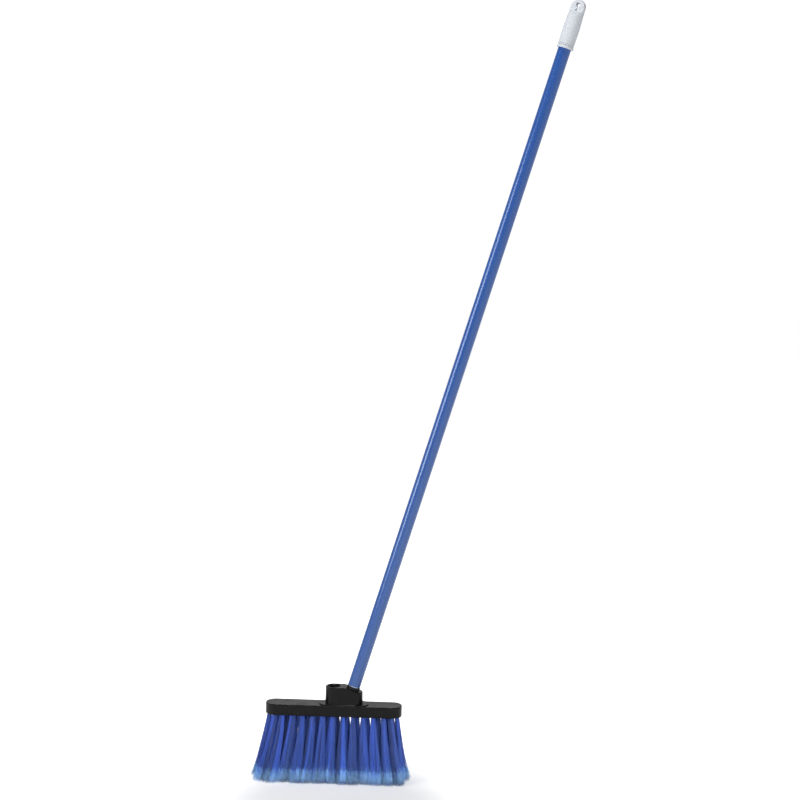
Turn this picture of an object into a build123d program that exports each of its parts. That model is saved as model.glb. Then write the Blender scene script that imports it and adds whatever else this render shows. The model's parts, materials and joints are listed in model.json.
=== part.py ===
"""Upright sweeping broom: a moulded block with two threaded sockets, flared tufts and a screw-in handle."""

from build123d import *

import math
import os

os.makedirs("parts", exist_ok=True)

# Millimetres. The origin is on the floor under the upright socket's axis, +Z is up,
# +X runs along the block to the side that the handle leans to.

# block
block_length = 238.0
block_depth = 38.0
block_thickness = 19.0
block_corner_radius = 17.0
block_edge_radius = 1.4
bristle_length = 114.0
block_top = bristle_length + block_thickness

# boss with the two sockets
boss_diameter = 30.2
boss_spacing = 35.3
boss_height = 31.5
boss_draft = 0.8
boss_root_radius = 1.5
boss_rim_radius = 1.3
pad_height = 1.3
pad_diameter = 35.0
pad_spacing = 52.0
pad_centre = 17.3
pad_edge_radius = 0.6

# sockets and their thread, 19 mm across with five turns to the inch
thread_pitch = 5.08
thread_core_radius = 7.1
thread_crest_radius = 9.3
thread_root_width = 2.9
thread_crest_width = 1.5
thread_embed = 0.15
socket_radius = 9.6
socket_depth = 28.0
socket_chamfer = 2.2
handle_lean = 16.8
angled_mouth_x = 33.1
angled_mouth_height = 26.9

# tufts: a straight row each side, one between them, and two at the block's ends
tuft_radius = 3.5
tuft_pitch = 17.6
tufts_each_side = 5
row_offset = 10.6
corner_tuft_x = 101.5
corner_tuft_y = 9.6
end_tuft_x = 111.6
row_shift = -0.7
middle_shift = 0.9
middle_shift_under_boss = -2.3
hole_depth = 12.0
flare = 1.165
sweep_back = -3.8
row_splay = 25.0
corner_splay_x = 122.5
corner_splay_y = 20.5
tip_half_width = 8.4
tip_half_depth = 10.6

# flat wire anchors that hold the tufts in their holes
anchor_length = 8.0
anchor_thickness = 0.5
anchor_height = 2.6
anchor_level = 8.0

# handle
tube_radius = 11.1
tube_wall = 0.55
collar_radius = 11.4
collar_gap = 0.3
collar_height = 5.5
spigot_length = 30.0
tip_length = 26.0
tip_chamfer = 1.2
neck_length = 2.2
tip_hollow_radius = 5.5
handle_reach = 1237.0

# hanging cap
cap_length = 83.5
cap_grip = 45.0
cap_fit_gap = 0.08
cap_rim_radius = 14.6
cap_rim_height = 3.6
cap_rim_edge = 0.6
cap_neck_radius = 13.6
cap_belly_radius = 13.8
cap_belly_below_tip = 45.0
cap_shoulder_radius = 12.8
cap_shoulder_below_tip = 19.0
cap_crown_radius = 10.8
cap_crown_below_tip = 6.0
cap_hollow_radius = 8.5
cap_hollow_below_tip = 24.0
cap_ring_depth = 0.35
cap_ring_width = 0.8
cap_ring_heights = (5.4, 7.6)
cap_turn = 18.0
flat_half_thickness = 6.0
flat_length = 12.5
flat_run_out_radius = 14.5
flat_run_out_length = 26.0
hang_hole_radius = 3.6
hang_hole_below_tip = 9.5
hang_hole_chamfer = 0.6
pocket_below_tip = 18.5
pocket_length = 4.6
pocket_width = 2.8
pocket_floor = 5.6

# directions and planes of the leaning handle
lean = math.radians(handle_lean)
handle_up = Vector(math.sin(lean), 0, math.cos(lean))
handle_side = Vector(math.cos(lean), 0, -math.sin(lean))
mouth = Vector(angled_mouth_x, 0, block_top + angled_mouth_height)
mouth_plane = Plane(origin=mouth, x_dir=handle_side, z_dir=handle_up)
handle_section = Plane(origin=mouth, x_dir=handle_side, z_dir=(0, -1, 0))
handle_axis = Axis(mouth, handle_up)
tube_start = collar_gap + collar_height
cap_base = handle_reach - cap_length
tube_end = cap_base + cap_grip

# where each tuft enters the block, and where it ends on the floor
tufts = []
for row, side in (("front", -1), ("back", 1)):
    spots = [((-corner_tuft_x, side * corner_tuft_y), (-corner_splay_x, side * corner_splay_y))]
    for step in range(-tufts_each_side, tufts_each_side + 1):
        spot_x = step * tuft_pitch
        spots.append(((spot_x, side * row_offset), (spot_x * flare, side * row_splay)))
    spots.append(((corner_tuft_x, side * corner_tuft_y), (corner_splay_x, side * corner_splay_y)))
    tufts.append((row, spots))
middle = [((-end_tuft_x, 0), (-end_tuft_x * flare, 0))]
for step in range(-tufts_each_side - 1, tufts_each_side + 1):
    spot_x = (step + 0.5) * tuft_pitch
    if 0 < spot_x < 4 * tuft_pitch:
        moved = middle_shift_under_boss
    else:
        moved = -math.copysign(middle_shift, spot_x)
    middle.append(((spot_x + moved, 0), (spot_x * flare, 0)))
middle.append(((end_tuft_x, 0), (end_tuft_x * flare, 0)))
tufts.append(("middle", middle))
roots = [(root[0] + row_shift, root[1]) for row, spots in tufts for root, tip in spots]


# ---- block: one moulding with the boss, both sockets and the tuft holes ----
with BuildPart() as block:
    with BuildSketch(Plane.XY.offset(bristle_length)):
        RectangleRounded(block_length, block_depth, block_corner_radius)
    extrude(amount=block_thickness)
    fillet(block.edges().group_by(Axis.Z)[-1], block_edge_radius)
    fillet(block.edges().group_by(Axis.Z)[0], block_edge_radius)
    with BuildSketch(Plane.XY.offset(block_top)):
        with Locations((pad_centre, 0)):
            SlotCenterToCenter(pad_spacing, pad_diameter)
    extrude(amount=pad_height)
    fillet(block.edges().group_by(Axis.Z)[-1], pad_edge_radius)
    with BuildSketch(Plane.XY.offset(block_top + pad_height)):
        with Locations((boss_spacing / 2, 0)):
            SlotCenterToCenter(boss_spacing, boss_diameter)
    extrude(amount=boss_height - pad_height, taper=boss_draft)
    fillet(block.edges(Select.LAST).group_by(Axis.Z)[0], boss_root_radius)
    with BuildSketch(mouth_plane):
        Rectangle(4 * boss_diameter, 2 * boss_diameter)
    extrude(amount=boss_height, mode=Mode.SUBTRACT)
    crown = block.faces().sort_by(Axis.Z)[-1]
    slope = block.faces().filter_by(lambda face: abs(face.normal_at().Z - handle_up.Z) < 1e-4)[0]
    fillet(ShapeList([*crown.edges(), *slope.edges()]), boss_rim_radius)
    with Locations(Plane.XY.offset(block_top + boss_height)):
        Hole(socket_radius, socket_depth)
    with Locations(mouth_plane):
        Hole(socket_radius, socket_depth)
    rims = block.edges().filter_by(GeomType.CIRCLE)
    rims = rims.filter_by(lambda edge: abs(edge.radius - socket_radius) < 1e-4)
    chamfer(rims.sort_by(Axis.Z)[-2:], socket_chamfer)
    with BuildSketch(Plane.XY.offset(bristle_length)):
        with Locations(*roots):
            Circle(tuft_radius)
    extrude(amount=hole_depth, mode=Mode.SUBTRACT)
    with BuildSketch(Plane.XY.offset(bristle_length + anchor_level)):
        with Locations(*roots):
            Rectangle(anchor_length, anchor_thickness)
    extrude(amount=anchor_height, mode=Mode.SUBTRACT)
block.part.label = "block"
export_step(block.part, "parts/block.step")


# ---- tufts: round in their holes, spreading to an oval on the floor ----
for row, spots in tufts:
    for number, (root, tip) in enumerate(spots, start=1):
        root_x = root[0] + row_shift
        tip_x = tip[0] + sweep_back
        with BuildPart() as tuft:
            with BuildSketch(Plane.XY):
                with Locations((tip_x, tip[1])):
                    Ellipse(tip_half_width, tip_half_depth)
            with BuildSketch(Plane.XY.offset(bristle_length)):
                with Locations((root_x, root[1])):
                    Circle(tuft_radius)
            loft()
            with BuildSketch(Plane.XY.offset(bristle_length)):
                with Locations((root_x, root[1])):
                    Circle(tuft_radius)
            extrude(amount=hole_depth)
            with BuildSketch(Plane.XY.offset(bristle_length + anchor_level)):
                with Locations((root_x, root[1])):
                    Rectangle(anchor_length, anchor_thickness)
            extrude(amount=anchor_height, mode=Mode.SUBTRACT)
        tuft.part.label = f"tuft_{row}_{number:02d}"
        export_step(tuft.part, f"parts/tuft_{row}_{number:02d}.step")


# ---- anchors: one flat wire through the root of each tuft, a node for each row ----
for row, spots in tufts:
    with BuildPart() as anchors:
        with BuildSketch(Plane.XY.offset(bristle_length + anchor_level)):
            with Locations(*[(root[0] + row_shift, root[1]) for root, tip in spots]):
                Rectangle(anchor_length, anchor_thickness)
        extrude(amount=anchor_height)
    anchors.part.label = f"anchors_{row}"
    export_step(anchors.part, f"parts/anchors_{row}.step")


# ---- threaded tip: thread, collar and the spigot inside the tube ----
thread_turns = (tip_length - neck_length - thread_pitch) / thread_pitch
thread_base = mouth - handle_up * (tip_length - tip_chamfer - thread_root_width / 2)
with BuildPart() as threaded_tip:
    with BuildSketch(handle_section):
        with BuildLine():
            Polyline(
                (0, -tip_length),
                (thread_core_radius - tip_chamfer, -tip_length),
                (thread_core_radius, -tip_length + tip_chamfer),
                (thread_core_radius, -neck_length),
                (collar_radius - neck_length, -neck_length),
                (collar_radius, 0),
                (collar_radius, tube_start),
                (tube_radius - tube_wall, tube_start),
                (tube_radius - tube_wall, tube_start + spigot_length),
                (tip_hollow_radius, tube_start + spigot_length),
                (tip_hollow_radius, tube_start),
                (0, tube_start),
                close=True,
            )
        make_face()
    revolve(axis=handle_axis)
    fillet(
        threaded_tip.edges()
        .filter_by(GeomType.CIRCLE)
        .filter_by(lambda edge: abs(edge.radius - collar_radius) < 1e-4),
        0.6,
    )
    with BuildLine() as thread_path:
        Helix(
            thread_pitch,
            thread_turns * thread_pitch,
            thread_core_radius,
            center=thread_base,
            direction=handle_up,
        )
    thread_start = thread_path.line @ 0
    outward = (thread_start - thread_base).normalized()
    with BuildSketch(Plane(origin=thread_start, x_dir=outward, z_dir=thread_path.line % 0)):
        with BuildLine():
            Polyline(
                (-thread_embed, -thread_root_width / 2),
                (thread_crest_radius - thread_core_radius, -thread_crest_width / 2),
                (thread_crest_radius - thread_core_radius, thread_crest_width / 2),
                (-thread_embed, thread_root_width / 2),
                close=True,
            )
        make_face()
    sweep(path=thread_path.line, is_frenet=True)
threaded_tip.part.label = "threaded_tip"
export_step(threaded_tip.part, "parts/threaded_tip.step")


# ---- handle tube ----
with BuildPart() as handle_tube:
    with BuildSketch(mouth_plane.offset(tube_start)):
        Circle(tube_radius)
        Circle(tube_radius - tube_wall, mode=Mode.SUBTRACT)
    extrude(amount=tube_end - tube_start)
handle_tube.part.label = "handle_tube"
export_step(handle_tube.part, "parts/handle_tube.step")


# ---- hanging cap: a push-on cover with a flat-sided end and a hole to hang it by ----
cap_bore = tube_radius + cap_fit_gap
turn = math.radians(cap_turn)
cap_face = (handle_side * -math.sin(turn) + Vector(0, -1, 0) * math.cos(turn)).normalized()
cap_tip = mouth + handle_up * handle_reach
flat_section = Plane(origin=cap_tip, x_dir=cap_face, z_dir=cap_face.cross(handle_up))
with BuildPart() as hanging_cap:
    with BuildSketch(handle_section):
        with BuildLine():
            Polyline(
                (cap_bore, cap_base),
                (cap_rim_radius - cap_rim_edge, cap_base),
                (cap_rim_radius, cap_base + cap_rim_edge),
                (cap_rim_radius, cap_base + cap_rim_height - cap_rim_edge),
                (cap_rim_radius - cap_rim_edge, cap_base + cap_rim_height),
                (cap_neck_radius, cap_base + cap_rim_height),
            )
            Spline(
                (cap_neck_radius, cap_base + cap_rim_height),
                (cap_belly_radius, handle_reach - cap_belly_below_tip),
                (cap_shoulder_radius, handle_reach - cap_shoulder_below_tip),
                (cap_crown_radius, handle_reach - cap_crown_below_tip),
                (0, handle_reach),
                tangents=((0, 1), (-1, 0)),
            )
            Polyline(
                (0, handle_reach),
                (0, handle_reach - cap_hollow_below_tip),
                (cap_hollow_radius, handle_reach - cap_hollow_below_tip),
                (cap_hollow_radius, tube_end),
                (cap_bore, tube_end),
                (cap_bore, cap_base),
            )
        make_face()
    revolve(axis=handle_axis)
    with BuildSketch(handle_section):
        with Locations(*[(cap_neck_radius, cap_base + height) for height in cap_ring_heights]):
            Rectangle(2 * cap_ring_depth, cap_ring_width)
    revolve(axis=handle_axis, mode=Mode.SUBTRACT)
    with BuildSketch(flat_section):
        with BuildLine():
            Line((flat_half_thickness, cap_crown_below_tip), (flat_half_thickness, -flat_length))
            TangentArc(
                (flat_half_thickness, -flat_length),
                (flat_run_out_radius, -flat_run_out_length),
                tangent=(0, -1),
            )
            Polyline(
                (flat_run_out_radius, -flat_run_out_length),
                (2 * flat_run_out_radius, -flat_run_out_length),
                (2 * flat_run_out_radius, cap_crown_below_tip),
                (flat_half_thickness, cap_crown_below_tip),
            )
        make_face()
        mirror(about=Plane.YZ)
    extrude(amount=2 * cap_belly_radius, both=True, mode=Mode.SUBTRACT)
    with BuildSketch(Plane(origin=cap_tip - handle_up * hang_hole_below_tip, x_dir=handle_up, z_dir=cap_face)):
        Circle(hang_hole_radius)
    extrude(amount=2 * cap_belly_radius, both=True, mode=Mode.SUBTRACT)
    hole_rims = hanging_cap.edges().filter_by(GeomType.CIRCLE)
    chamfer(
        hole_rims.filter_by(lambda edge: abs(edge.radius - hang_hole_radius) < 1e-4),
        hang_hole_chamfer,
    )
    for facing in (cap_face, -cap_face):
        pocket_centre = cap_tip - handle_up * pocket_below_tip + facing * pocket_floor
        with BuildSketch(Plane(origin=pocket_centre, x_dir=handle_up, z_dir=facing)):
            SlotOverall(pocket_length, pocket_width)
        extrude(amount=cap_belly_radius, mode=Mode.SUBTRACT)
hanging_cap.part.label = "hanging_cap"
export_step(hanging_cap.part, "parts/hanging_cap.step")
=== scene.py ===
import json
import math

import bpy
import bmesh
import numpy as np
from mathutils import Matrix, Vector


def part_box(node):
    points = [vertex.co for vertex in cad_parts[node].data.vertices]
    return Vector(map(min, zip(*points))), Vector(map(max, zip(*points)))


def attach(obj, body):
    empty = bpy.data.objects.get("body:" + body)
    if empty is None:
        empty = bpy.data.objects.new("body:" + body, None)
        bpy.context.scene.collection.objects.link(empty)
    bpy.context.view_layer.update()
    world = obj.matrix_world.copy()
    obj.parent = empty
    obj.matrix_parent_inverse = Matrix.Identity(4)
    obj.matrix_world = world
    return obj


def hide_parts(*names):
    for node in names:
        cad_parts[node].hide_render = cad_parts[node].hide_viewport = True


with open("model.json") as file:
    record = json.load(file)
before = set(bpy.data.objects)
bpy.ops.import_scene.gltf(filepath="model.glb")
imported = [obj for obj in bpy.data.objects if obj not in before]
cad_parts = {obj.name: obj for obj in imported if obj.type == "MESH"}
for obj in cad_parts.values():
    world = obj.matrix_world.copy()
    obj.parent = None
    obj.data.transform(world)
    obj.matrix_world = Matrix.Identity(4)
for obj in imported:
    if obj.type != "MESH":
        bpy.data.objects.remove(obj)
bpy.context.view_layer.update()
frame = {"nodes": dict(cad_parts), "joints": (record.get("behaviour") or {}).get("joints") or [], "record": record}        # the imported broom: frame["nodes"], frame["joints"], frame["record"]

MM = 0.001

# ---------------------------------------------------------------- places read from the frame

joints = {joint["name"]: joint for joint in frame["joints"]}
handle_up = Vector(joints["handle_turn"]["axis"]).normalized()
handle_mouth = Vector(joints["handle_turn"]["pos_m"])
mounts = {mount["name"]: mount for mount in frame["record"]["mounts"]}
socket_radius = mounts["upright_socket"]["dims"]["r_mm"] * MM
block_low, block_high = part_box("block")
block_underside = block_low.z
boss_top = block_high.z
tuft_names = sorted(name for name in frame["nodes"] if name.startswith("tuft_"))


def node_points(node):
    """The corners of a CAD node's mesh, as an array in metres."""
    mesh = frame["nodes"][node].data
    points = np.empty(len(mesh.vertices) * 3)
    mesh.vertices.foreach_get("co", points)
    return points.reshape(-1, 3)


def slice_oval(points, low, high):
    """Centre and half size, across and front to back, of the points between two heights."""
    level = points[(points[:, 2] >= low) & (points[:, 2] <= high)][:, :2]
    return (level.max(0) + level.min(0)) / 2, (level.max(0) - level.min(0)) / 2


# the collar's top, where the tube starts, measured up the handle from the socket's mouth
tube_heights = (node_points("handle_tube") - np.array(handle_mouth)) @ np.array(handle_up)
collar_top = float(tube_heights.min())

# ---------------------------------------------------------------- materials


def frame_groups(tree, groups):
    """Lays the nodes out in columns, one frame for each effect."""
    for column, (title, members) in enumerate(groups.items()):
        box = tree.nodes.new("NodeFrame")
        box.label = title
        for row, node in enumerate(members):
            node.parent = box
            node.location = (column * 320.0, -row * 260.0)


def moulded_plastic(name, shade, worn_shade, smooth, rough, grain_height, specular):
    """Injection-moulded plastic: fine spark-eroded grain, soft flow marks and handling marks."""
    material = bpy.data.materials.new(name)
    material.use_nodes = True
    tree = material.node_tree
    nodes, links = tree.nodes, tree.links
    nodes.clear()

    place = nodes.new("ShaderNodeTexCoord")
    place.label = "Place on the moulding"

    flow = nodes.new("ShaderNodeTexNoise")
    flow.label = "Slow flow of the melt"
    flow.inputs["Scale"].default_value = 38.0
    flow.inputs["Detail"].default_value = 3.0
    flow.inputs["Roughness"].default_value = 0.55

    handling = nodes.new("ShaderNodeTexNoise")
    handling.label = "Rubbed and dusty patches"
    handling.inputs["Scale"].default_value = 90.0
    handling.inputs["Detail"].default_value = 4.0
    handling.inputs["Roughness"].default_value = 0.62

    patches = nodes.new("ShaderNodeValToRGB")
    patches.label = "How worn each patch is"
    patches.color_ramp.elements[0].position = 0.42
    patches.color_ramp.elements[0].color = (0.0, 0.0, 0.0, 1.0)
    patches.color_ramp.elements[1].position = 0.78
    patches.color_ramp.elements[1].color = (1.0, 1.0, 1.0, 1.0)

    colour = nodes.new("ShaderNodeMix")
    colour.label = "Clean or worn colour"
    colour.data_type = "RGBA"
    colour.inputs["A"].default_value = (*shade, 1.0)
    colour.inputs["B"].default_value = (*worn_shade, 1.0)

    sheen = nodes.new("ShaderNodeMapRange")
    sheen.label = "Gloss follows the flow"
    sheen.inputs["From Min"].default_value = 0.3
    sheen.inputs["From Max"].default_value = 0.7
    sheen.inputs["To Min"].default_value = smooth
    sheen.inputs["To Max"].default_value = rough

    grain = nodes.new("ShaderNodeTexVoronoi")
    grain.label = "Fine mould grain"
    grain.inputs["Scale"].default_value = 1500.0

    ripple = nodes.new("ShaderNodeTexNoise")
    ripple.label = "Faint sink marks"
    ripple.inputs["Scale"].default_value = 40.0
    ripple.inputs["Detail"].default_value = 0.0

    sink_bump = nodes.new("ShaderNodeBump")
    sink_bump.label = "Height of the sink marks"
    sink_bump.inputs["Strength"].default_value = 0.25
    sink_bump.inputs["Distance"].default_value = 0.0003

    grain_bump = nodes.new("ShaderNodeBump")
    grain_bump.label = "Height of the grain"
    grain_bump.inputs["Strength"].default_value = 0.35
    grain_bump.inputs["Distance"].default_value = grain_height

    shader = nodes.new("ShaderNodeBsdfPrincipled")
    shader.label = "Plastic"
    shader.inputs["IOR"].default_value = 1.49
    shader.inputs["Specular IOR Level"].default_value = specular

    out = nodes.new("ShaderNodeOutputMaterial")
    out.label = "Surface"

    links.new(place.outputs["Object"], flow.inputs["Vector"])
    links.new(place.outputs["Object"], handling.inputs["Vector"])
    links.new(place.outputs["Object"], grain.inputs["Vector"])
    links.new(place.outputs["Object"], ripple.inputs["Vector"])
    links.new(handling.outputs["Fac"], patches.inputs["Fac"])
    links.new(patches.outputs["Color"], colour.inputs["Factor"])
    links.new(colour.outputs["Result"], shader.inputs["Base Color"])
    links.new(flow.outputs["Fac"], sheen.inputs["Value"])
    links.new(sheen.outputs["Result"], shader.inputs["Roughness"])
    links.new(ripple.outputs["Fac"], sink_bump.inputs["Height"])
    links.new(sink_bump.outputs["Normal"], grain_bump.inputs["Normal"])
    links.new(grain.outputs["Distance"], grain_bump.inputs["Height"])
    links.new(grain_bump.outputs["Normal"], shader.inputs["Normal"])
    links.new(shader.outputs["BSDF"], out.inputs["Surface"])

    frame_groups(tree, {
        "Place": (place,),
        "Colour and wear": (handling, patches, colour),
        "Gloss": (flow, sheen),
        "Grain and sink marks": (grain, ripple, sink_bump, grain_bump),
        "Plastic": (shader, out),
    })
    return material


def bristle_fibre():
    """Extruded blue filament: each strand has its own tone, the split ends scatter pale, and the very tips
    darken with painted shadow where they meet the floor.
    """
    material = bpy.data.materials.new("Blue bristle fibre")
    material.use_nodes = True
    tree = material.node_tree
    nodes, links = tree.nodes, tree.links
    nodes.clear()

    along = nodes.new("ShaderNodeAttribute")
    along.label = "From root to tip"
    along.attribute_name = "along"

    tone = nodes.new("ShaderNodeAttribute")
    tone.label = "Each strand's own tone"
    tone.attribute_name = "tone"

    body = nodes.new("ShaderNodeValToRGB")
    body.label = "Blue body, pale split end, painted shadow at the tip"
    ramp = body.color_ramp
    ramp.elements[0].position = 0.0
    ramp.elements[0].color = (0.040, 0.120, 0.600, 1.0)
    # painted shadow: the last stretch of each strand darkens to deep blue in place of the contact shadow
    # where the tips touch the floor
    ramp.elements[1].position = 1.0
    ramp.elements[1].color = (0.040, 0.120, 0.420, 1.0)
    middle = ramp.elements.new(0.80)
    middle.color = (0.050, 0.150, 0.640, 1.0)
    split = ramp.elements.new(0.86)
    split.color = (0.220, 0.480, 0.900, 1.0)
    pale = ramp.elements.new(0.955)
    pale.color = (0.360, 0.640, 0.980, 1.0)

    spread = nodes.new("ShaderNodeMapRange")
    spread.label = "Tone range"
    spread.inputs["To Min"].default_value = 0.36
    spread.inputs["To Max"].default_value = 1.72

    tinted = nodes.new("ShaderNodeHueSaturation")
    tinted.label = "Lighter and darker strands"

    place = nodes.new("ShaderNodeTexCoord")
    place.label = "Place in the tuft"

    dust = nodes.new("ShaderNodeTexNoise")
    dust.label = "Uneven dye along the strand"
    dust.inputs["Scale"].default_value = 90.0
    dust.inputs["Detail"].default_value = 3.0

    gloss = nodes.new("ShaderNodeMapRange")
    gloss.label = "Gloss of the filament"
    gloss.inputs["To Min"].default_value = 0.32
    gloss.inputs["To Max"].default_value = 0.58

    crimp = nodes.new("ShaderNodeBump")
    crimp.label = "Slight crimp"
    crimp.inputs["Strength"].default_value = 0.2
    crimp.inputs["Distance"].default_value = 0.0002

    shader = nodes.new("ShaderNodeBsdfPrincipled")
    shader.label = "Filament"
    shader.inputs["IOR"].default_value = 1.5
    shader.inputs["Specular IOR Level"].default_value = 0.75
    shader.inputs["Sheen Weight"].default_value = 0.30
    shader.inputs["Sheen Roughness"].default_value = 0.4

    out = nodes.new("ShaderNodeOutputMaterial")
    out.label = "Surface"

    links.new(along.outputs["Fac"], body.inputs["Fac"])
    links.new(tone.outputs["Fac"], spread.inputs["Value"])
    links.new(spread.outputs["Result"], tinted.inputs["Value"])
    links.new(body.outputs["Color"], tinted.inputs["Color"])
    links.new(tinted.outputs["Color"], shader.inputs["Base Color"])
    links.new(place.outputs["Object"], dust.inputs["Vector"])
    links.new(dust.outputs["Fac"], gloss.inputs["Value"])
    links.new(gloss.outputs["Result"], shader.inputs["Roughness"])
    links.new(dust.outputs["Fac"], crimp.inputs["Height"])
    links.new(crimp.outputs["Normal"], shader.inputs["Normal"])
    links.new(shader.outputs["BSDF"], out.inputs["Surface"])

    frame_groups(tree, {
        "Colour": (along, body, tone, spread, tinted),
        "Gloss and crimp": (place, dust, gloss, crimp),
        "Filament": (shader, out),
    })
    return material


def coated_steel():
    """Thin steel tube under a glossy blue coat, bare where the tube is cut at its lower end."""
    material = bpy.data.materials.new("Blue coated steel")
    material.use_nodes = True
    tree = material.node_tree
    nodes, links = tree.nodes, tree.links
    nodes.clear()

    place = nodes.new("ShaderNodeTexCoord")
    place.label = "Place on the handle"

    upright = nodes.new("ShaderNodeMapping")
    upright.label = "Stand the handle upright"
    upright.vector_type = "TEXTURE"
    upright.inputs["Location"].default_value = handle_mouth
    upright.inputs["Rotation"].default_value = handle_up.to_track_quat("Z", "Y").to_euler()

    height = nodes.new("ShaderNodeSeparateXYZ")
    height.label = "Distance up the handle"

    bare = nodes.new("ShaderNodeMapRange")
    bare.label = "Bare cut edge"
    bare.inputs["From Min"].default_value = collar_top + 0.7 * MM
    bare.inputs["From Max"].default_value = collar_top + 1.1 * MM
    bare.inputs["To Min"].default_value = 1.0
    bare.inputs["To Max"].default_value = 0.0

    drawn = nodes.new("ShaderNodeMapping")
    drawn.label = "Stretch along the tube"
    drawn.inputs["Scale"].default_value = (260.0, 260.0, 5.0)

    streaks = nodes.new("ShaderNodeTexNoise")
    streaks.label = "Faint draw streaks"
    streaks.inputs["Scale"].default_value = 1.0
    streaks.inputs["Detail"].default_value = 4.0

    scuffs = nodes.new("ShaderNodeTexNoise")
    scuffs.label = "Small scuffs"
    scuffs.inputs["Scale"].default_value = 420.0
    scuffs.inputs["Detail"].default_value = 5.0

    scuff_mask = nodes.new("ShaderNodeValToRGB")
    scuff_mask.label = "Only the deepest scuffs"
    scuff_mask.color_ramp.elements[0].position = 0.64
    scuff_mask.color_ramp.elements[0].color = (0.0, 0.0, 0.0, 1.0)
    scuff_mask.color_ramp.elements[1].position = 0.80
    scuff_mask.color_ramp.elements[1].color = (0.5, 0.5, 0.5, 1.0)

    coat_colour = nodes.new("ShaderNodeMix")
    coat_colour.label = "Blue coat with streaks"
    coat_colour.data_type = "RGBA"
    coat_colour.inputs["A"].default_value = (0.012, 0.055, 0.225, 1.0)
    coat_colour.inputs["B"].default_value = (0.019, 0.072, 0.275, 1.0)

    scuffed = nodes.new("ShaderNodeMix")
    scuffed.label = "Scuffed coat"
    scuffed.data_type = "RGBA"
    scuffed.inputs["B"].default_value = (0.120, 0.210, 0.560, 1.0)

    edge_colour = nodes.new("ShaderNodeMix")
    edge_colour.label = "Bare steel at the cut"
    edge_colour.data_type = "RGBA"
    edge_colour.inputs["B"].default_value = (0.300, 0.360, 0.460, 1.0)

    gloss = nodes.new("ShaderNodeMapRange")
    gloss.label = "Gloss of the coat"
    gloss.inputs["From Min"].default_value = 0.3
    gloss.inputs["From Max"].default_value = 0.7
    gloss.inputs["To Min"].default_value = 0.18
    gloss.inputs["To Max"].default_value = 0.26

    peel = nodes.new("ShaderNodeTexNoise")
    peel.label = "Orange peel"
    peel.inputs["Scale"].default_value = 520.0
    peel.inputs["Detail"].default_value = 2.0

    peel_bump = nodes.new("ShaderNodeBump")
    peel_bump.label = "Depth of the orange peel"
    peel_bump.inputs["Strength"].default_value = 0.12
    peel_bump.inputs["Distance"].default_value = 0.0003

    shader = nodes.new("ShaderNodeBsdfPrincipled")
    shader.label = "Coated steel"
    shader.inputs["IOR"].default_value = 1.5
    shader.inputs["Specular IOR Level"].default_value = 0.80
    shader.inputs["Specular Tint"].default_value = (0.72, 0.84, 1.0, 1.0)

    out = nodes.new("ShaderNodeOutputMaterial")
    out.label = "Surface"

    links.new(place.outputs["Object"], upright.inputs["Vector"])
    links.new(upright.outputs["Vector"], height.inputs["Vector"])
    links.new(height.outputs["Z"], bare.inputs["Value"])
    links.new(upright.outputs["Vector"], drawn.inputs["Vector"])
    links.new(drawn.outputs["Vector"], streaks.inputs["Vector"])
    links.new(upright.outputs["Vector"], scuffs.inputs["Vector"])
    links.new(upright.outputs["Vector"], peel.inputs["Vector"])
    links.new(scuffs.outputs["Fac"], scuff_mask.inputs["Fac"])
    links.new(streaks.outputs["Fac"], coat_colour.inputs["Factor"])
    links.new(coat_colour.outputs["Result"], scuffed.inputs["A"])
    links.new(scuff_mask.outputs["Color"], scuffed.inputs["Factor"])
    links.new(scuffed.outputs["Result"], edge_colour.inputs["A"])
    links.new(bare.outputs["Result"], edge_colour.inputs["Factor"])
    links.new(edge_colour.outputs["Result"], shader.inputs["Base Color"])
    links.new(bare.outputs["Result"], shader.inputs["Metallic"])
    links.new(streaks.outputs["Fac"], gloss.inputs["Value"])
    links.new(gloss.outputs["Result"], shader.inputs["Roughness"])
    links.new(peel.outputs["Fac"], peel_bump.inputs["Height"])
    links.new(peel_bump.outputs["Normal"], shader.inputs["Normal"])
    links.new(shader.outputs["BSDF"], out.inputs["Surface"])

    frame_groups(tree, {
        "Place": (place, upright, height, drawn),
        "Coat colour": (streaks, coat_colour, scuffs, scuff_mask, scuffed),
        "Cut edge": (bare, edge_colour),
        "Gloss and peel": (gloss, peel, peel_bump),
        "Coated steel": (shader, out),
    })
    return material


def bare_wire():
    """Flattened steel wire of the tuft anchors."""
    material = bpy.data.materials.new("Anchor wire")
    material.use_nodes = True
    tree = material.node_tree
    nodes, links = tree.nodes, tree.links
    nodes.clear()

    place = nodes.new("ShaderNodeTexCoord")
    place.label = "Place on the wire"

    rolling = nodes.new("ShaderNodeTexNoise")
    rolling.label = "Rolling marks"
    rolling.inputs["Scale"].default_value = 900.0
    rolling.inputs["Detail"].default_value = 3.0

    gloss = nodes.new("ShaderNodeMapRange")
    gloss.label = "Dull and bright bands"
    gloss.inputs["To Min"].default_value = 0.28
    gloss.inputs["To Max"].default_value = 0.5

    marks = nodes.new("ShaderNodeBump")
    marks.label = "Depth of the marks"
    marks.inputs["Strength"].default_value = 0.3
    marks.inputs["Distance"].default_value = 0.0001

    shader = nodes.new("ShaderNodeBsdfPrincipled")
    shader.label = "Steel wire"
    shader.inputs["Base Color"].default_value = (0.55, 0.54, 0.52, 1.0)
    shader.inputs["Metallic"].default_value = 1.0

    out = nodes.new("ShaderNodeOutputMaterial")
    out.label = "Surface"

    links.new(place.outputs["Object"], rolling.inputs["Vector"])
    links.new(rolling.outputs["Fac"], gloss.inputs["Value"])
    links.new(gloss.outputs["Result"], shader.inputs["Roughness"])
    links.new(rolling.outputs["Fac"], marks.inputs["Height"])
    links.new(marks.outputs["Normal"], shader.inputs["Normal"])
    links.new(shader.outputs["BSDF"], out.inputs["Surface"])

    frame_groups(tree, {
        "Rolling marks": (place, rolling, gloss, marks),
        "Steel wire": (shader, out),
    })
    return material


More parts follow.
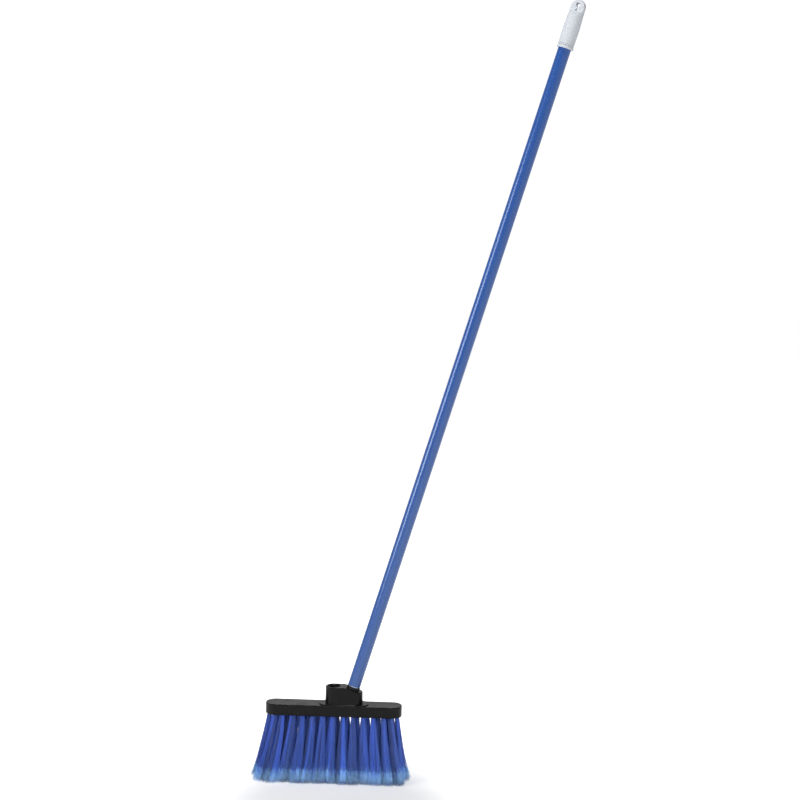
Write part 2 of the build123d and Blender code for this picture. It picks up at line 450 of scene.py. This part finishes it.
def paper_with_painted_shade():
    """White paper that glows in place of lamplight, with a painted shade under the broom and just in front
    of it.
    """
    material = bpy.data.materials.new("Studio paper with painted shade")
    material.use_nodes = True
    tree = material.node_tree
    nodes, links = tree.nodes, tree.links
    nodes.clear()

    place = nodes.new("ShaderNodeTexCoord")
    place.label = "Place on the floor"

    distance = nodes.new("ShaderNodeVectorMath")
    distance.label = "Distance from the shade's middle"
    distance.operation = "DISTANCE"
    distance.inputs[1].default_value = (0.02, -0.14, 0.0)

    # painted shade: the floor's glow is cut down around the broom's head, a shadow painted onto the floor
    # instead of cast by the lamps
    lit = nodes.new("ShaderNodeMapRange")
    lit.label = "Glow grows away from the shade"
    lit.interpolation_type = "SMOOTHSTEP"
    lit.inputs["From Min"].default_value = 0.12
    lit.inputs["From Max"].default_value = 0.32
    lit.inputs["To Min"].default_value = 0.10
    lit.inputs["To Max"].default_value = 0.85

    shader = nodes.new("ShaderNodeBsdfPrincipled")
    shader.label = "Matte paper"
    shader.inputs["Base Color"].default_value = (0.84, 0.84, 0.85, 1.0)
    shader.inputs["Roughness"].default_value = 0.9
    shader.inputs["Specular IOR Level"].default_value = 0.1
    shader.inputs["Emission Color"].default_value = (1.0, 1.0, 1.0, 1.0)

    out = nodes.new("ShaderNodeOutputMaterial")
    out.label = "Surface"

    links.new(place.outputs["Object"], distance.inputs[0])
    links.new(distance.outputs["Value"], lit.inputs["Value"])
    links.new(lit.outputs["Result"], shader.inputs["Emission Strength"])
    links.new(shader.outputs["BSDF"], out.inputs["Surface"])

    frame_groups(tree, {
        "Glow": (place, distance, lit),
        "Paper": (shader, out),
    })
    return material


def repaint(node, material):
    """Gives a CAD node its finished material."""
    slots = frame["nodes"][node].data.materials
    slots.clear()
    slots.append(material)


block_plastic = moulded_plastic(
    "Black block plastic",
    shade=(0.0026, 0.0028, 0.0026),
    worn_shade=(0.0060, 0.0060, 0.0060),
    smooth=0.25,
    rough=0.36,
    grain_height=0.04 * MM,
    specular=0.15,
)
tip_plastic = moulded_plastic(
    "Black tip plastic",
    shade=(0.005, 0.005, 0.005),
    worn_shade=(0.012, 0.012, 0.012),
    smooth=0.32,
    rough=0.48,
    grain_height=0.04 * MM,
    specular=0.18,
)
cap_plastic = moulded_plastic(
    "White cap plastic",
    shade=(0.46, 0.485, 0.52),
    worn_shade=(0.44, 0.46, 0.49),
    smooth=0.44,
    rough=0.56,
    grain_height=0.008 * MM,
    specular=0.16,
)
bristle = bristle_fibre()

repaint("block", block_plastic)
repaint("threaded_tip", tip_plastic)
repaint("hanging_cap", cap_plastic)
repaint("handle_tube", coated_steel())
anchor_wire = bare_wire()
for row in ("front", "middle", "back"):
    repaint(f"anchors_{row}", anchor_wire)

# ---------------------------------------------------------------- bristles

# a tuft: strands drawn into locks, each strand split into hairs near its end
strands_per_tuft = 200
strand_radius = 0.25 * MM
hairs_per_strand = 3
hair_radius = 0.13 * MM
locks_per_tuft = 9
lock_area = 0.75            # how much of the tuft's half size the locks' middles are spread over
lock_pull = 0.38            # how far a strand is drawn to the middle of its lock
lock_sway = 1.1 * MM
strand_bow = 0.4 * MM

# shape from root to tip
stations = np.array([0.0, 0.05, 0.12, 0.28, 0.50, 0.68, 0.80, 0.9, 1.0])
thickness = np.array([1.0, 1.0, 1.0, 1.0, 1.0, 1.0, 0.95, 0.62, 0.35])
ruffle = np.array([0.0, 0.6, 1.0, 0.3, 0.0, 0.0, 0.0, 0.0, 0.0])
split_station = 6
fan_bend = 1.35             # above 1, a tuft leans outward more the lower it is
root_sink = 2.5 * MM
root_ruffle = 0.27
neat_ruffle = 0.14          # the tufts in the gaps under the boss stay neat
neat_low, neat_high = -2 * MM, 72 * MM

# spread at the floor, as shares of the CAD tuft's oval, and small lengths added to it
end_growth = 1.36
depth_growth = 1.30
corner_fill = 0.24
tip_scatter = 0.13
tip_wander = (0.9 * MM, 1.2 * MM)
front_reach = 3.0 * MM
tip_low, tip_high = 0.05 * MM, 0.9 * MM
corner_rise = 1.6 * MM      # the outermost tips hang clear of the floor
corner_start = 0.85

# the tufts at the two ends of the block are calmer and narrower
end_start, end_blend = 92 * MM, 14 * MM
end_calm = 0.35             # how much of the spread they keep
end_narrowing = 0.16

# split hairs
hair_stations = np.array([0.0, 0.45, 1.0])
hair_thickness = np.array([1.1, 0.9, 0.45])
hair_lengths = (0.88, 1.03)
hair_spread = 1.2 * MM
hair_curl = 0.35 * MM

# tone: how much of it a strand shares with its lock, and a hair with its strand
lock_share, strand_share = 0.72, 0.7
strand_drift, lock_drift = 0.026, 0.018     # how unevenly the pale ends begin

golden_angle = math.pi * (3 - math.sqrt(5))
dice = np.random.default_rng(17)
tuft_points = np.concatenate([node_points(node) for node in tuft_names])
head_middle = (tuft_points[:, 0].max() + tuft_points[:, 0].min()) / 2
half_width = (tuft_points[:, 0].max() - tuft_points[:, 0].min()) / 2


def slim_tubes(paths, radii):
    """Closed three-sided tubes, one along each path, as points and faces; radii has one value a ring."""
    count, rings, _ = paths.shape
    along = np.gradient(paths, axis=1)
    along /= np.linalg.norm(along, axis=2, keepdims=True)
    across = np.cross(along, (0.0, 1.0, 0.0))
    across /= np.linalg.norm(across, axis=2, keepdims=True)
    beside = np.cross(along, across)
    turns = np.arange(3) * math.tau / 3
    ring = across[:, :, None] * np.cos(turns)[:, None] + beside[:, :, None] * np.sin(turns)[:, None]
    points = paths[:, :, None] + ring * np.asarray(radii)[None, :, None, None]
    sides = []
    for low in range(rings - 1):
        for side in range(3):
            after = (side + 1) % 3
            below, above = low * 3, low * 3 + 3
            sides.append((below + side, below + after, above + after))
            sides.append((below + side, above + after, above + side))
    last = (rings - 1) * 3
    sides.append((0, 2, 1))
    sides.append((last, last + 1, last + 2))
    faces = np.asarray(sides)[None] + (np.arange(count) * rings * 3)[:, None, None]
    return points.reshape(-1, 3), faces.reshape(-1, 3)


def strand_paths(node):
    """Every strand's path from root to tip, and the lock it belongs to."""
    points = node_points(node)
    root_centre, root_half = slice_oval(points, block_underside + 1.0 * MM, block_underside + 30 * MM)
    tip_centre, tip_half = slice_oval(points, -0.1 * MM, 0.5 * MM)
    at_end = np.clip((abs(root_centre[0] - head_middle) - end_start) / end_blend, 0, 1)
    loose = 1 - (1 - end_calm) * at_end
    tip_centre = tip_centre + dice.normal(0, (tip_wander[0] * loose, tip_wander[1]))
    if node.startswith("tuft_front"):
        tip_centre[1] -= front_reach

    number = np.arange(strands_per_tuft)
    reach = np.sqrt((number + 0.5) / strands_per_tuft)
    turn = number * golden_angle + dice.uniform(0, math.tau)
    disk = np.stack([reach * np.cos(turn), reach * np.sin(turn)], axis=1)

    lock_middles = dice.uniform(-lock_area, lock_area, (locks_per_tuft, 2))
    lock = np.linalg.norm(disk[:, None] - lock_middles[None], axis=2).argmin(axis=1)
    gather = (lock_middles[lock] - disk) * lock_pull
    sway = dice.normal(0, lock_sway * loose, (locks_per_tuft, 2))[lock]
    growth = np.array([1 + (end_growth - 1) * loose - end_narrowing * at_end, depth_growth])
    squared = (1 + corner_fill * np.sin(2 * turn) ** 2)[:, None]
    tip_disk = disk * growth * squared + dice.normal(0, tip_scatter, disk.shape)

    neat = neat_low < root_centre[0] < neat_high
    stray = abs(dice.normal(0, neat_ruffle if neat else root_ruffle, strands_per_tuft))
    outward = disk[:, 0] * (root_centre[0] - head_middle) > 0
    stray = (stray * (1 - at_end * outward))[:, None] * ruffle[None]

    fan = (stations ** fan_bend)[None, :, None]
    wide = stations[None, :, None]
    gathered = np.sin(stations * math.pi)[None, :, None]
    middle = root_centre * (1 - fan) + tip_centre * fan
    packed = disk[:, None] * (1 + stray[:, :, None]) * (root_half - strand_radius) * (1 - wide)
    opened = tip_disk[:, None] * tip_half * wide
    bow = sway + dice.normal(0, strand_bow, disk.shape)
    bend = gather[:, None] * tip_half * wide + bow[:, None]
    paths = np.empty((strands_per_tuft, len(stations), 3))
    paths[:, :, :2] = middle + packed + opened + bend * gathered
    off_centre = abs(paths[:, -1, 0] - head_middle) / half_width
    rise = corner_rise * np.clip((off_centre - corner_start) / (1 - corner_start), 0, 1)
    tip_height = dice.uniform(tip_low, tip_high, strands_per_tuft) + rise
    root_height = block_underside + root_sink
    paths[:, :, 2] = root_height + (tip_height[:, None] - root_height) * stations[None]
    return paths, lock


def split_hair(start, heading):
    """One hair for every strand, from where the strand splits to beside its end."""
    aside = np.zeros((strands_per_tuft, 3))
    aside[:, :2] = dice.normal(0, hair_spread, (strands_per_tuft, 2))
    end = start + heading * dice.uniform(*hair_lengths, (strands_per_tuft, 1)) + aside
    end[:, 2] = np.maximum(end[:, 2], tip_low)
    curl = dice.normal(0, hair_curl, (strands_per_tuft, 3))
    curl[:, 2] = 0
    paths = start[:, None] + (end - start)[:, None] * hair_stations[None, :, None]
    paths += curl[:, None] * np.sin(hair_stations * math.pi)[None, :, None]
    return slim_tubes(paths, hair_radius * hair_thickness)


def bristle_tuft(node):
    """One tuft in place of its CAD cone, with each point's place along the strand and its tone."""
    paths, lock = strand_paths(node)
    strand_points, strand_faces = slim_tubes(paths, strand_radius * thickness)
    start = paths[:, split_station]
    heading = paths[:, -1] - start
    lock_tone = dice.uniform(0.0, 1.0, locks_per_tuft)[lock]
    own_tone = lock_share * lock_tone + (1 - lock_share) * dice.uniform(0, 1, strands_per_tuft)
    drift = dice.normal(0, strand_drift, strands_per_tuft)
    drift = drift + dice.normal(0, lock_drift, locks_per_tuft)[lock]
    all_points = [strand_points]
    all_faces = [strand_faces]
    along = [np.repeat(np.clip(stations[None] + drift[:, None], 0, 1), 3)]
    tone = [np.repeat(own_tone, len(stations) * 3)]
    split_point = stations[split_station]
    hair_along = split_point + (1 - split_point) * hair_stations
    for _ in range(hairs_per_strand):
        hair_points, hair_faces = split_hair(start, heading)
        all_faces.append(hair_faces + sum(len(batch) for batch in all_points))
        all_points.append(hair_points)
        along.append(np.repeat(np.clip(hair_along[None] + drift[:, None], 0, 1), 3))
        hair_tone = strand_share * own_tone + (1 - strand_share) * dice.uniform(0, 1, strands_per_tuft)
        tone.append(np.repeat(hair_tone, len(hair_stations) * 3))

    name = node.replace("tuft", "bristles")
    mesh = bpy.data.meshes.new(name)
    mesh.from_pydata(np.concatenate(all_points).tolist(), [], np.concatenate(all_faces).tolist())
    for title, values in (("along", along), ("tone", tone)):
        layer = mesh.attributes.new(title, "FLOAT", "POINT")
        layer.data.foreach_set("value", np.concatenate(values).astype(np.float32))
    mesh.shade_smooth()
    mesh.materials.append(bristle)
    tuft = bpy.data.objects.new(name, mesh)
    bpy.context.collection.objects.link(tuft)
    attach(tuft, "head")
    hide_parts(node)


for node in tuft_names:
    bristle_tuft(node)

# ---------------------------------------------------------------- socket threads

thread_pitch = 5.08 * MM
thread_turns = 4
thread_steps = 56
ridge_height = 2.0 * MM
ridge_root = 1.9 * MM
ridge_crest = 1.0 * MM
ridge_sink = 0.2 * MM       # how far the ridge's foot goes into the socket's wall
first_ridge = 2.0 * MM      # the least depth of the first ridge below the mouth
crest_radius = 9.3 * MM     # a little inside the tip's own crest
under_collar = 3.0 * MM     # the tip's thread is looked for below this depth


def thread_phase(mouth, upward):
    """Height, within one pitch, of the tip's crest where it passes the ridge's starting side."""
    turned = np.array(upward.to_track_quat("Z", "Y").to_matrix())
    local = (node_points("threaded_tip") - np.array(mouth)) @ turned
    radius = np.hypot(local[:, 0], local[:, 1])
    crest = local[(radius > crest_radius - 0.1 * MM) & (local[:, 2] < -under_collar)]
    heights = crest[:, 2] - thread_pitch * np.arctan2(crest[:, 1], crest[:, 0]) / math.tau
    around = np.exp(1j * math.tau * heights / thread_pitch).mean()
    return float(np.angle(around)) / math.tau * thread_pitch


def socket_thread(name, mouth, upward, phase):
    """The ridge of an internal thread, turned by a Screw modifier and then set in its socket."""
    mesh = bpy.data.meshes.new(name)
    outer, inner = socket_radius + ridge_sink, socket_radius - ridge_height
    profile = [
        (outer, 0, ridge_root / 2),
        (inner, 0, ridge_crest / 2),
        (inner, 0, -ridge_crest / 2),
        (outer, 0, -ridge_root / 2),
    ]
    mesh.from_pydata(profile, [(0, 1), (1, 2), (2, 3), (3, 0)], [])
    ridge = bpy.data.objects.new(name, mesh)
    bpy.context.collection.objects.link(ridge)
    screw = ridge.modifiers.new("Thread", "SCREW")
    screw.axis = "Z"
    screw.angle = math.tau
    screw.screw_offset = thread_pitch
    screw.iterations = thread_turns
    screw.steps = thread_steps
    screw.render_steps = thread_steps
    screw.use_smooth_shade = True
    shaped = bpy.data.meshes.new_from_object(ridge.evaluated_get(bpy.context.evaluated_depsgraph_get()))
    ridge.modifiers.clear()
    ridge.data = shaped
    shaped.name = name
    work = bmesh.new()
    work.from_mesh(shaped)
    bmesh.ops.holes_fill(work, edges=[edge for edge in work.edges if edge.is_boundary], sides=4)
    bmesh.ops.recalc_face_normals(work, faces=work.faces)
    depth = first_ridge + thread_turns * thread_pitch
    depth += (-phase - thread_pitch / 2 - depth) % thread_pitch
    turned = upward.to_track_quat("Z", "Y").to_matrix().to_4x4()
    bmesh.ops.transform(work, matrix=Matrix.Translation(mouth - upward * depth) @ turned, verts=work.verts)
    work.to_mesh(shaped)
    work.free()
    shaped.materials.append(block_plastic)
    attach(ridge, "head")


# the tip's own thread winds through the gaps of the angled socket's ridge
socket_thread("upright_socket_thread", Vector((0, 0, boss_top)), Vector((0, 0, 1)), 0.0)
socket_thread("angled_socket_thread", handle_mouth, handle_up, thread_phase(handle_mouth, handle_up))

# ---------------------------------------------------------------- stage, light and camera

floor_size = 30.0
# brightness of the room: the wall behind the broom, the room in front, and how much
# the right side and the ceiling are dimmed
backdrop_glow = 1.06
front_glow = 0.24
right_side = 0.25
ceiling_share = 0.45
# name, place, aimed at, width and height, watts
lamps = (
    ("left softbox", (-2.00, -1.05, 1.15), (0.15, 0, 0.75), (1.1, 1.35), 33.0),
    ("right strip", (1.80, -2.00, 1.70), (0.3, 0, 0.9), (0.7, 1.2), 4.0),
    ("front fill", (0.9, -2.5, 2.4), (0.2, 0, 0.7), (1.2, 1.0), 26.0),
    ("overhead", (-0.1, -0.6, 3.3), (0.05, 0, 0.1), (0.4, 0.4), 40.0),
)
camera_place = Vector((0.215, -2.851, 0.989))
camera_yaw, camera_pitch, camera_roll = math.radians(-2.22), math.radians(6.4), math.radians(1.2)
camera_lens = 75.56


def paper_floor():
    """White paper, its edge far outside the main camera's view."""
    bpy.ops.mesh.primitive_plane_add(size=floor_size, location=(0, 0, 0))
    floor = bpy.context.object
    floor.name = "studio_floor"
    floor.data.materials.append(paper_with_painted_shade())


def studio_room():
    """A bright wall behind the broom, fading to a dim room in front, on the right and overhead."""
    world = bpy.data.worlds.new("Studio")
    bpy.context.scene.world = world
    world.use_nodes = True
    tree = world.node_tree
    nodes, links = tree.nodes, tree.links
    nodes.clear()

    heading = nodes.new("ShaderNodeTexCoord")
    heading.label = "Direction in the room"

    parts = nodes.new("ShaderNodeSeparateXYZ")
    parts.label = "Across, depth and height"

    backdrop = nodes.new("ShaderNodeMapRange")
    backdrop.label = "Bright backdrop, dim front"
    backdrop.interpolation_type = "SMOOTHSTEP"
    backdrop.inputs["From Min"].default_value = 0.35
    backdrop.inputs["From Max"].default_value = 0.92
    backdrop.inputs["To Min"].default_value = front_glow
    backdrop.inputs["To Max"].default_value = backdrop_glow

    ceiling = nodes.new("ShaderNodeMapRange")
    ceiling.label = "Dimmer above"
    ceiling.inputs["From Min"].default_value = 0.15
    ceiling.inputs["From Max"].default_value = 0.50
    ceiling.inputs["To Min"].default_value = 1.0
    ceiling.inputs["To Max"].default_value = ceiling_share

    dimmed = nodes.new("ShaderNodeMath")
    dimmed.label = "Side and ceiling"
    dimmed.operation = "MULTIPLY"

    side = nodes.new("ShaderNodeMapRange")
    side.label = "Dimmer to the right"
    side.inputs["From Min"].default_value = 0.25
    side.inputs["From Max"].default_value = 0.60
    side.inputs["To Min"].default_value = 1.0
    side.inputs["To Max"].default_value = right_side

    walls = nodes.new("ShaderNodeMath")
    walls.label = "Backdrop, side and ceiling"
    walls.operation = "MULTIPLY"

    glow = nodes.new("ShaderNodeBackground")
    glow.label = "Studio walls"
    glow.inputs["Color"].default_value = (1.0, 1.0, 1.0, 1.0)

    out = nodes.new("ShaderNodeOutputWorld")
    out.label = "World"

    links.new(heading.outputs["Generated"], parts.inputs["Vector"])
    links.new(parts.outputs["Y"], backdrop.inputs["Value"])
    links.new(parts.outputs["X"], side.inputs["Value"])
    links.new(parts.outputs["Z"], ceiling.inputs["Value"])
    links.new(side.outputs["Result"], dimmed.inputs[0])
    links.new(ceiling.outputs["Result"], dimmed.inputs[1])
    links.new(backdrop.outputs["Result"], walls.inputs[0])
    links.new(dimmed.outputs["Value"], walls.inputs[1])
    links.new(walls.outputs["Value"], glow.inputs["Strength"])
    links.new(glow.outputs["Background"], out.inputs["Surface"])

    frame_groups(tree, {
        "Room": (heading, parts, backdrop, side, ceiling),
        "Walls": (dimmed, walls, glow, out),
    })


def soft_lamps():
    """Rectangular soft lamps, each turned to its target."""
    for name, place, target, size, power in lamps:
        data = bpy.data.lights.new(name, "AREA")
        data.shape = "RECTANGLE"
        data.size, data.size_y = size
        data.energy = power
        lamp = bpy.data.objects.new(name, data)
        lamp.location = place
        lamp.rotation_euler = (Vector(target) - Vector(place)).to_track_quat("-Z", "Y").to_euler()
        bpy.context.collection.objects.link(lamp)


def camera_on_stand():
    """The camera stands a little above the handle's middle and looks slightly down."""
    level = math.cos(camera_pitch)
    ahead = Vector((math.sin(camera_yaw) * level, math.cos(camera_yaw) * level, -math.sin(camera_pitch)))
    right = Vector((math.cos(camera_yaw), -math.sin(camera_yaw), 0))
    above = right.cross(ahead)
    right, above = (
        right * math.cos(camera_roll) + above * math.sin(camera_roll),
        above * math.cos(camera_roll) - right * math.sin(camera_roll),
    )
    data = bpy.data.cameras.new("camera")
    data.sensor_width = 36.0
    data.lens = camera_lens
    camera = bpy.data.objects.new("camera", data)
    camera.matrix_world = Matrix((
        (right.x, above.x, -ahead.x, camera_place.x),
        (right.y, above.y, -ahead.y, camera_place.y),
        (right.z, above.z, -ahead.z, camera_place.z),
        (0, 0, 0, 1),
    ))
    bpy.context.collection.objects.link(camera)
    bpy.context.scene.camera = camera


paper_floor()
studio_room()
soft_lamps()
camera_on_stand()
bpy.context.scene.view_settings.view_transform = "Standard"
